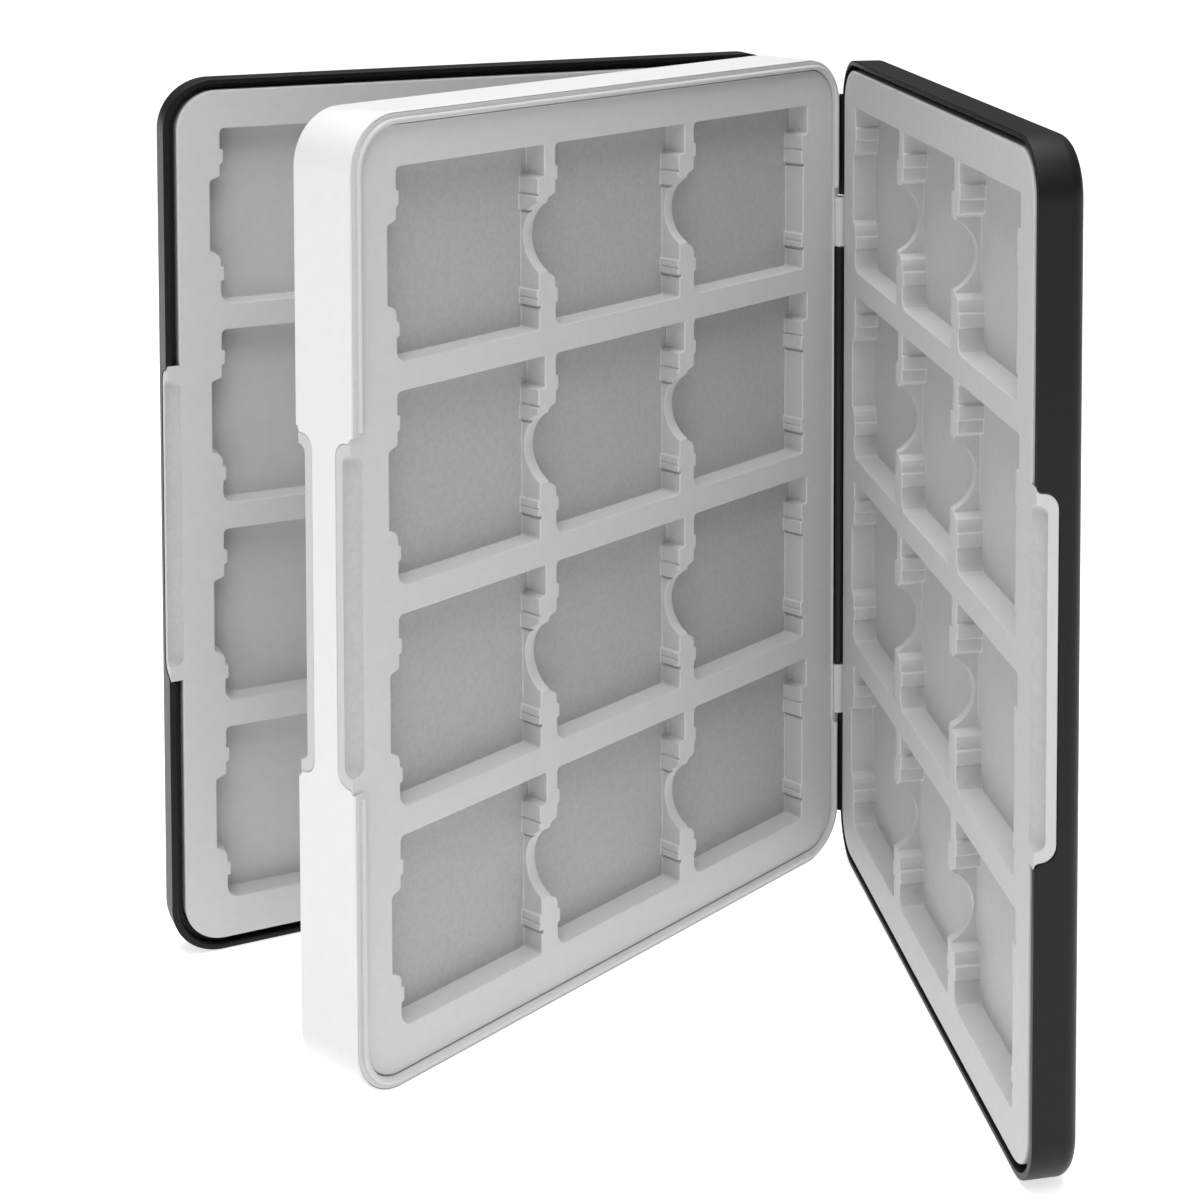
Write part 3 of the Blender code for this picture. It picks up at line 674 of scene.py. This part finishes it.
# %% Cutters for the pockets and thumb notches
POCKET_RIM = 0.22 * MM
POCKET_FLOOR_EDGE = 0.24 * MM
POCKET_ARC = 5
THUMB_EDGE = 0.45 * MM
THUMB_FAR_EDGE = 0.04 * MM     # where the bowl meets the next pocket's grips
THUMB_RIM_STEPS = 5
THUMB_BOWL_STEPS = 40


def pocket_grid_corner(side):
    """Top left corner of the block of pockets, seen from the face."""
    width = (COLUMNS - 1) * COLUMN_PITCH + POCKET_WIDTH
    near = TRAY_NEAR + BORDER_SPINE
    left = near if side > 0 else -near - width
    return left, TRAY_TOP - BORDER_TOP


def thumb_section():
    """Points of the thumb notch's section: a bowl that rounds over onto the face."""
    reach = math.sqrt((THUMB_RADIUS + THUMB_EDGE) ** 2 - (THUMB_RISE + THUMB_EDGE) ** 2)
    touch = math.atan2(reach, THUMB_RISE + THUMB_EDGE)
    rim_turns = [touch * step / THUMB_RIM_STEPS for step in range(THUMB_RIM_STEPS)]
    rim = [(reach - THUMB_EDGE * math.sin(turn), FACE - THUMB_EDGE * (1 - math.cos(turn)))
           for turn in rim_turns]
    bowl_turns = [touch * (1 - 2 * step / THUMB_BOWL_STEPS) for step in range(THUMB_BOWL_STEPS + 1)]
    bowl = [(THUMB_RADIUS * math.sin(turn), FACE + THUMB_RISE - THUMB_RADIUS * math.cos(turn))
            for turn in bowl_turns]
    other_rim = [(-y, z) for y, z in rim[::-1]]
    return [(reach, FACE + OVERCUT), *rim, *bowl, *other_rim, (-reach, FACE + OVERCUT)]


def pocket_cutters(side):
    """All pockets, and the thumb notches that join the columns."""
    left, top = pocket_grid_corner(side)
    rows_half = (ROWS - 1) * ROW_PITCH / 2
    corners = [(right * MM, -down * MM, radius * MM) for right, down, radius in POCKET_WALL]
    single = plate(corners, FACE - POCKET_DEPTH, FACE, POCKET_ARC, POCKET_FLOOR_EDGE, -POCKET_RIM)
    pockets = on_grid(single, COLUMNS, (left + (COLUMNS - 1) * COLUMN_PITCH / 2, top - rows_half))
    wall = COLUMN_PITCH - POCKET_WIDTH - FINGER_RECESS_OUT
    section = thumb_section()[::-1]
    bowl = plate(section, 0, wall, low_edge=-POCKET_RIM, high_edge=-THUMB_FAR_EDGE)
    middle = (left + POCKET_WIDTH + (COLUMNS - 2) * COLUMN_PITCH / 2,
              top - POCKET_HEIGHT / 2 - rows_half)
    notches = on_grid(turned(bowl, TO_X), COLUMNS - 1, middle)
    return pockets, notches


# %% [markdown]
# ## Finishing a piece
#
# The broad faces of a moulding are flat and its edges are round, and the shading has
# to say so. Faces that lie square in the leaf are shaded flat, the round ones smooth,
# and an edge between two of those stays sharp where it really is one.

# %% Where a tray is grained coarsely and painted darker as shade
# Side walls and scoops get part of the coarser grain and of the painted shade
WALL_GRAIN_AND_SHADE = 0.5
SCOOP_GRAIN_AND_SHADE = 0.8
SLACK = 0.02 * MM              # a face's middle may lie this far off its nominal place
POCKET_FIELD = 4.0 * MM        # every pocket lies further than this inside the tray


def grain_and_shade_share(face, floor_grain_and_shade):
    """How much coarser grain and painted shade a tray's face gets: pocket floor, side wall or scoop.
    """
    x, y, z = face.calc_center_median()
    depth = FACE - z
    from_free_side = LEAF_FAR - TAB_SETBACK - abs(x)
    if depth > POCKET_DEPTH - SLACK:
        return floor_grain_and_shade * (face.normal.z > 0.9)
    if TRAY_NEAR + POCKET_FIELD < abs(x) < TRAY_FAR - POCKET_FIELD:
        return WALL_GRAIN_AND_SHADE * (depth > POCKET_RIM and abs(face.normal.x) > 0.7)
    in_width = SLACK < from_free_side < SCOOP_WIDTH
    in_depth = SLACK < depth < SCOOP_DEPTH + SLACK
    in_length = abs(y - MID_HEIGHT) < SCOOP_LENGTH / 2
    return SCOOP_GRAIN_AND_SHADE * (in_width and in_depth and in_length)


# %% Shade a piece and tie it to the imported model
SHARP = math.radians(32)
FLAT = 0.99999                 # a face is square in the leaf if its normal goes this far


def finished(mesh, name, material, floor_grain_and_shade=0.0):
    """An object with its material, shaded flat on the flats and smooth on the rounds.
    The last argument says how much coarser grain and painted shade the pocket floors get; 0 is for
    no tray."""
    work = bmesh.new()
    work.from_mesh(mesh)
    bmesh.ops.remove_doubles(work, verts=work.verts, dist=MERGE_DISTANCE)
    # Pocket floors, side walls and scoops are marked for coarser grain and painted shade
    painted_shade_and_grain = work.faces.layers.float.new("coarse_grain_and_painted_shade")
    for face in work.faces:
        face.material_index = 0
        face.smooth = max(abs(part) for part in face.normal) < FLAT
        if floor_grain_and_shade:
            face[painted_shade_and_grain] = grain_and_shade_share(face, floor_grain_and_shade)
    for edge in work.edges:
        edge.smooth = len(edge.link_faces) == 2 and edge.calc_face_angle(0) < SHARP
    loose = sum(len(edge.link_faces) != 2 for edge in work.edges)
    shaped = bpy.data.meshes.new(name)
    work.to_mesh(shaped)
    work.free()
    shaped.materials.clear()
    shaped.materials.append(material)
    print(f"{name}: {len(shaped.polygons)} faces, {loose} open edges")
    return placed(name, shaped)


def settle(piece, matrix, body, node):
    """Turns a piece into its leaf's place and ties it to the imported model."""
    piece.data.transform(matrix)
    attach(piece, body)
    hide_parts(node)


# %% [markdown]
# ## Trays
#
# The trays of the covers are plain blocks with a tab for the fingertip. Those of the
# middle leaf also carry the flange with its band, the raised bead that snaps into
# the covers, and the hinge knuckles.

# %% Features that all trays share
FAR_TOP = FACE + 4.0 * MM
TRAY_EDGE = 0.4 * MM
TAB_ROOT = 2.0 * MM            # how far the tab reaches into the tray's block
TAB_EDGE = 0.25 * MM
SMALL_ARC = 4
NOTCH_ARC = 6
SCOOP_STEPS = 12


def tab(side):
    """The tab that fills the finger notch, and the tool that trims it to the face."""
    near, far = TRAY_FAR - TAB_ROOT, LEAF_FAR - TAB_SETBACK
    edges = (0.0, TAB_EDGE) if side > 0 else (TAB_EDGE, 0.0)
    blank = plate(notch_outline(TAB_FIT), *across(side, near, far), NOTCH_ARC, *edges)
    half = NOTCH_LENGTH / 2 + FLARE_REACH
    above = [(FACE, side * (near - OVERCUT), 0), (FACE, side * far, TAB_EDGE),
             (FACE - TAB_EDGE, side * far, 0), (FACE - TAB_EDGE, side * (far + OVERCUT), 0),
             (FAR_TOP, side * (far + OVERCUT), 0), (FAR_TOP, side * (near - OVERCUT), 0)]
    trim = plate(above, MID_HEIGHT - half, MID_HEIGHT + half, SMALL_ARC)
    return turned(blank, TO_X), turned(trim, TO_Y)


def scoop(side):
    """The hollow scoop in the tab, with round ends."""
    start = LEAF_FAR - TAB_SETBACK - SCOOP_WIDTH
    chord = Vector((SCOOP_WIDTH, -SCOOP_DEPTH))
    away = math.sqrt(SCOOP_CURVE ** 2 - chord.length_squared / 4)
    square_to_chord = Vector((SCOOP_DEPTH, SCOOP_WIDTH)).normalized()
    middle = Vector((start, FACE)) + chord / 2 + away * square_to_chord
    low = math.atan2(FACE - middle.y, start - middle.x)
    swing = 2 * math.asin(chord.length / 2 / SCOOP_CURVE)
    turns = [low + swing * step / SCOOP_STEPS for step in range(SCOOP_STEPS + 1)]
    arc = [middle + SCOOP_CURVE * Vector((math.cos(turn), math.sin(turn))) for turn in turns]
    end = start + SCOOP_WIDTH + 2 * OVERCUT
    points = [*arc, Vector((end, arc[-1].y)), Vector((end, FAR_TOP)), Vector((start, FAR_TOP))]
    section = [(height, side * x, 0) for x, height in points]
    half = SCOOP_LENGTH / 2
    hollow = plate(section, MID_HEIGHT - half, MID_HEIGHT + half, SMALL_ARC, SCOOP_END, SCOOP_END,
                   LARGE_EDGE_STEPS)
    return turned(hollow, TO_Y)


# %% Trays of the covers
# The covers' pocket floors get less painted shade, and less of the coarser grain, than the middle
# leaf's
COVER_FLOOR_GRAIN_AND_SHADE = 0.3


def cover_tray(name, side):
    """Tray of a cover."""
    blank, trim = tab(side)
    body = plate(tray_outline(side), FACE - TRAY_THICKNESS, FACE, LEAF_ARC, high_edge=TRAY_EDGE)
    body = cut(fused(body, blank), trim, scoop(side), *pocket_cutters(side))
    return finished(body, name, grey_abs, COVER_FLOOR_GRAIN_AND_SHADE)


settle(cover_tray("front_cover_tray_moulding", 1), FRONT_COVER, "front_cover", "front_cover_tray")
settle(cover_tray("rear_cover_tray_moulding", -1), REAR_COVER, "rear_cover", "rear_cover_tray")

# %% Bead and parting groove of the middle trays
BEAD_WIDTH = BEAD_OUTER - BEAD_INNER
BEAD_EDGE = 0.48 * MM
BEAD_TAPER = 0.45 * MM
BEAD_TO_HINGE = 1.6 * MM
BEAD_TO_NOTCH = 1.8 * MM
GROOVE_EDGE = 0.06 * MM
GROOVE_INSET = 0.01 * MM       # the groove stops this far short of the bead


def edge_path(side, out, upper):
    """Path at a distance outside the tray, from the hinge over one end to the notch."""
    spine, free = side * (TRAY_NEAR - out), side * (TRAY_FAR + out)
    end = TRAY_TOP + out if upper else TRAY_BOTTOM - out
    way = 1 if upper else -1
    start = MID_HEIGHT + way * (HINGE_SPAN / 2 + BEAD_TO_HINGE)
    finish = MID_HEIGHT + way * (NOTCH_LENGTH / 2 + BEAD_TO_NOTCH)
    shares = (0.0, 0.05, 0.2, 0.5, 1.0)      # more points where the end rounds off
    return ([(spine, start + way * BEAD_TAPER * share, 0) for share in shares]
            + [(spine, end, TRAY_CORNER + out), (free, end, TRAY_CORNER + out)]
            + [(free, finish + way * BEAD_TAPER * share, 0) for share in shares[::-1]])


def bead(side, upper):
    """The raised bead over one end of the tray."""
    path = edge_path(side, (BEAD_INNER + BEAD_OUTER) / 2, upper)
    return ridge(path, FACE, BEAD_WIDTH, 2 * BEAD_HEIGHT, BEAD_EDGE, BEAD_TAPER)


def parting_groove(side, upper):
    """The thin groove between the tray's face and the bead."""
    width, depth = PARTING_GROOVE
    path = edge_path(side, BEAD_INNER - width / 2 - GROOVE_INSET, upper)
    return ridge(path, FACE, width, 2 * depth, GROOVE_EDGE, BEAD_TAPER)


# %% Trays of the middle leaf
BAND_EDGE = 0.18 * MM
BARREL_EDGE = 0.2 * MM
BARREL_ROOM = 0.2 * MM
# The middle leaf's pocket floors get the full coarser grain and the full painted shade, for the
# deeper shadow between the leaves
MIDDLE_FLOOR_GRAIN_AND_SHADE = 1.0


def middle_tray(name, side):
    """Tray of the middle leaf."""
    blank, trim = tab(side)
    body = plate(tray_outline(side, FLANGE_OUT, RIM_SPINE), FACE - FLANGE_THICKNESS,
                 FACE + BAND_PROUD, LEAF_ARC, high_edge=BAND_EDGE)
    half = BARREL_LENGTH / 2 + BARREL_RUN + BARREL_ROOM
    barrel_room = box((-HINGE_CLEAR, HINGE_CLEAR), (MID_HEIGHT - half, MID_HEIGHT + half),
                      (FACE - FLANGE_THICKNESS - OVERCUT, HINGE_CLEAR))
    inside = plate(tray_outline(side, BEAD_INNER), FACE, FAR_TOP, LEAF_ARC)
    body = cut(body, inside, barrel_room)
    block = plate(tray_outline(side), FACE - TRAY_THICKNESS, FACE - FLANGE_THICKNESS / 2, LEAF_ARC)
    body = cut(fused(body, block, blank), trim)
    knuckles = [rod(BARREL_RADIUS, middle, KNUCKLE_LENGTH, BARREL_EDGE) for middle in KNUCKLES]
    body = fused(body, bead(side, True), bead(side, False), *knuckles)
    bores = [rod(PIN_BORE, middle, KNUCKLE_LENGTH + OVERCUT) for middle in KNUCKLES]
    body = cut(body, parting_groove(side, True), parting_groove(side, False), scoop(side),
               *bores, *pocket_cutters(side))
    return finished(body, name, grey_abs, MIDDLE_FLOOR_GRAIN_AND_SHADE)


settle(middle_tray("middle_front_tray_moulding", -1), MIDDLE_FRONT, "middle_leaf",
       "middle_front_tray")
settle(middle_tray("middle_rear_tray_moulding", 1), MIDDLE_REAR, "middle_leaf",
       "middle_rear_tray")

# %% [markdown]
# ## Shells and frame
#
# The covers' black shells are shallow boxes whose backs roll over into the sides in
# a wide radius. The groove round the tray takes the bead of the middle leaf. The
# white frame is a ring with a web across its middle.

# %% Cover shells
SHELL_BACK_ROUNDING = 2.58 * MM
SHELL_RIM = 0.22 * MM
NOTCH_MOUTH = 0.2 * MM
BORE_LENGTH = 16.8 * MM
SPINE_LIP = [        # (out of the face, from the hinge axis, corner radius), in mm
    (0.22, -0.2, 0.08), (0.22, 0.12, 0.08), (-0.35, 0.5, 0.05), (-0.6, 0.75, 0),
    (-0.9, 0.6, 0), (-0.9, 0.5, 0), (-0.2, -0.25, 0.08),
]
SPINE_LIP_END = 8.4 * MM


def spine_lip(side):
    """Thin lip on a shell's spine edge, which closes the gap beside the hinge axis."""
    section = [(out * MM, side * away * MM, radius * MM) for out, away, radius in SPINE_LIP]
    lip = plate(section, SPINE_LIP_END, LEAF_HEIGHT - SPINE_LIP_END, SMALL_ARC)
    return turned(lip, TO_Y)


def finger_notch(side):
    """The finger notch through a leaf's side, flared where it leaves the outer face."""
    edges = (0.0, -NOTCH_MOUTH) if side > 0 else (-NOTCH_MOUTH, 0.0)
    through = across(side, TRAY_FAR - OVERCUT, LEAF_FAR)
    return turned(plate(notch_outline(), *through, NOTCH_ARC, *edges), TO_X)


def cover_shell(name, side):
    """Shell of a cover with its hinge barrel."""
    body = plate(leaf_outline(side), FACE - SHELL_THICKNESS, FACE, LEAF_ARC,
                 SHELL_BACK_ROUNDING, SHELL_RIM, LARGE_EDGE_STEPS)
    tray_room = plate(tray_outline(side, FIT), FACE - TRAY_THICKNESS - FIT, FACE + OVERCUT, LEAF_ARC)
    groove = plate(tray_outline(side, GROOVE_WIDTH), FACE - GROOVE_DEPTH, FACE, LEAF_ARC,
                   high_edge=-SHELL_RIM)
    body = cut(body, tray_room, groove, finger_notch(side))
    body = fused(body, spine_lip(side), rod(BARREL_RADIUS, MID_HEIGHT, BARREL_LENGTH, BARREL_EDGE))
    half = KNUCKLE_LENGTH / 2 + BARREL_RUN
    knuckle_rooms = [box((-HINGE_CLEAR, HINGE_CLEAR), (middle - half, middle + half),
                         (-HINGE_CLEAR, HINGE_CLEAR)) for middle in KNUCKLES]
    barrel_ends = (MID_HEIGHT - BARREL_LENGTH / 2, MID_HEIGHT + BARREL_LENGTH / 2)
    bores = [rod(PIN_BORE, end, BORE_LENGTH) for end in barrel_ends]
    body = cut(body, *knuckle_rooms, *bores)
    return finished(body, name, black_abs)


settle(cover_shell("front_cover_shell_moulding", 1), FRONT_COVER, "front_cover",
       "front_cover_shell")
settle(cover_shell("rear_cover_shell_moulding", -1), REAR_COVER, "rear_cover", "rear_cover_shell")

# %% Middle frame
FRAME_EDGE = 0.2 * MM


def rear_notch(side, rear_face):
    """The finger notch mirrored to the rear face."""
    mirror = Matrix.Scale(-1, 4, (0, 0, 1))
    notch = turned(finger_notch(side), Matrix.Translation((0, 0, FACE + rear_face)) @ mirror)
    notch.flip_normals()
    return notch


def middle_frame(name, side):
    """White ring and web, modelled from the front face."""
    rear_face = FACE - MIDDLE_THICKNESS
    hinge_run = (MID_HEIGHT - HINGE_SPAN / 2, MID_HEIGHT + HINGE_SPAN / 2)
    body = plate(leaf_outline(side), rear_face - BAND_PROUD, FACE + BAND_PROUD, LEAF_ARC,
                 FRAME_EDGE, FRAME_EDGE)
    for face, out in ((FACE, 1), (rear_face, -1)):
        top = face + out * (BAND_PROUD + OVERCUT)
        axis = face + out * AXIS_PROUD
        tray_ends = sorted((face - out * (TRAY_THICKNESS + FIT), top))
        flange_ends = sorted((face - out * (FLANGE_THICKNESS + FIT), top))
        tray_room = plate(tray_outline(side, FIT), *tray_ends, LEAF_ARC)
        flange_room = plate(tray_outline(side, FLANGE_OUT + LIP_FIT, RIM_SPINE + OVERCUT),
                            *flange_ends, LEAF_ARC)
        notch = finger_notch(side) if out > 0 else rear_notch(side, rear_face)
        hinge_room = box(across(side, -HINGE_CLEAR, TRAY_NEAR), hinge_run,
                         (axis - out * HINGE_CLEAR, axis + out * HINGE_CLEAR))
        body = cut(body, tray_room, flange_room, notch, hinge_room)
    return finished(body, name, white_abs)


settle(middle_frame("middle_frame_moulding", -1), MIDDLE_FRONT, "middle_leaf", "middle_frame")

# %% [markdown]
# ## Hinge pins
#
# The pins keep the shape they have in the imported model. They only need their metal.

# %% Steel for the pins
for name, node in frame["nodes"].items():
    if name.endswith("hinge_pin"):
        node.data.materials.clear()
        node.data.materials.append(steel)
        print("steel for", name)

# %% [markdown]
# ## Floor, light and camera
#
# A catalogue photograph like this one is taken on a light table: white acrylic, lit
# from below, in a white tent whose roof is its brightest part. A broad softbox hangs
# over the case and a second one in front of it, at the left. The table gives itself
# as white to the camera and to reflections and still takes a faint shadow of the case.

# %% Floor and backdrop
def light_table(glow_level, seen_level):
    """White acrylic lit from below, which still takes a faint shadow. seen_level is the
    glow that the camera, reflections and clear pieces see; glow_level lights the case."""
    material, tree = new_material("acrylic_light_table")
    path = add_node(tree, "ShaderNodeLightPath").outputs
    seen = add_node(tree, "ShaderNodeMath", {0: path["Is Camera Ray"], 1: path["Is Glossy Ray"]},
                    operation="MAXIMUM")
    seen = add_node(tree, "ShaderNodeMath", {0: seen.outputs[0], 1: path["Is Transmission Ray"]},
                    operation="MAXIMUM")
    level = add_node(tree, "ShaderNodeMapRange", {
        "Value": seen.outputs[0], "To Min": glow_level, "To Max": seen_level})
    skin = add_node(tree, "ShaderNodeBsdfDiffuse", {"Color": hex_colour("#e0e0e0")})
    glow = add_node(tree, "ShaderNodeEmission", {
        "Color": (1, 1, 1, 1), "Strength": level.outputs["Result"]})
    both = add_node(tree, "ShaderNodeAddShader", {0: skin.outputs[0], 1: glow.outputs[0]})
    add_node(tree, "ShaderNodeOutputMaterial", {"Surface": both.outputs[0]})
    return material


TABLE_GLOW = 0.70
TABLE_SEEN = 0.70
TABLE_HALF_SIZE = 8.0
TABLE_DROP = 0.2 * MM
table_mesh = bpy.data.meshes.new("light_table")
table = bmesh.new()
bmesh.ops.create_grid(table, x_segments=8, y_segments=8, size=TABLE_HALF_SIZE)
table.to_mesh(table_mesh)
table.free()
table_mesh.transform(Matrix.Translation((0, 0, -TABLE_DROP)))
table_mesh.materials.append(light_table(TABLE_GLOW, TABLE_SEEN))
floor = placed("floor", table_mesh)
print(f"light table glows at {TABLE_GLOW}, seen at {TABLE_SEEN}")


# %% World and lamps
def studio_world(zenith):
    """White light that grows from the horizon up, and pure white where the camera sees it."""
    world = bpy.data.worlds.new("studio")
    bpy.context.scene.world = world
    world.use_nodes = True
    tree = world.node_tree
    tree.nodes.clear()
    path = add_node(tree, "ShaderNodeLightPath").outputs
    way = add_node(tree, "ShaderNodeTexCoord").outputs["Generated"]
    rise = add_node(tree, "ShaderNodeSeparateXYZ", {"Vector": way}).outputs["Z"]
    tent = add_node(tree, "ShaderNodeMapRange", {"Value": rise, "To Max": zenith})
    level = add_node(tree, "ShaderNodeMapRange", {
        "Value": path["Is Camera Ray"], "To Min": tent.outputs["Result"], "To Max": 1.0})
    light = add_node(tree, "ShaderNodeBackground", {
        "Color": (1, 1, 1, 1), "Strength": level.outputs["Result"]})
    add_node(tree, "ShaderNodeOutputWorld", {"Surface": light.outputs["Background"]})


def softbox(name, place, target, size, power):
    """A large area lamp aimed at a point."""
    data = bpy.data.lights.new(name, "AREA")
    data.shape = "SQUARE"
    data.size = size
    data.energy = power
    lamp = placed(name, data)
    lamp.location = place
    lamp.rotation_euler = (Vector(target) - Vector(place)).to_track_quat("-Z", "Y").to_euler()
    print(f"{name}: {size} m wide, {power} W")


ZENITH_LEVEL = 0.62
studio_world(ZENITH_LEVEL)
CENTRE = (0, 0, MID_HEIGHT)
softbox("top_softbox", (0.05, 0.1, 1.3), CENTRE, 1.1, 11.0)
softbox("front_softbox", (-0.55, -0.55, 1.2), CENTRE, 0.7, 5.9)

# %% Camera
# Fitted to the photograph: it stands low, left of the front, and looks down a little.
# The frame is cut from below the lens's axis, which the shift gives back.
IMAGE_SIZE = 1200
FOCAL_PIXELS = 2305.5
AXIS_PIXEL = (799.54, -56.8)
CAMERA_PLACE = (-329.56 * MM, -324.32 * MM, 231.24 * MM)
CAMERA_TURN = (90 - 3.029, -0.124, -50.544)
camera_data = bpy.data.cameras.new("camera")
camera_data.sensor_width = 36.0
camera_data.lens = FOCAL_PIXELS / IMAGE_SIZE * camera_data.sensor_width
camera_data.shift_x = (IMAGE_SIZE / 2 - AXIS_PIXEL[0]) / IMAGE_SIZE
camera_data.shift_y = (AXIS_PIXEL[1] - IMAGE_SIZE / 2) / IMAGE_SIZE
camera_data.clip_start = 0.01
camera_data.clip_end = 50.0
camera = placed("camera", camera_data)
camera.location = CAMERA_PLACE
camera.rotation_euler = Euler([math.radians(angle) for angle in CAMERA_TURN])
bpy.context.scene.camera = camera
bpy.context.scene.view_settings.view_transform = "Standard"
print(f"lens {camera_data.lens:.1f} mm, shift {camera_data.shift_x:.3f}, {camera_data.shift_y:.3f}")
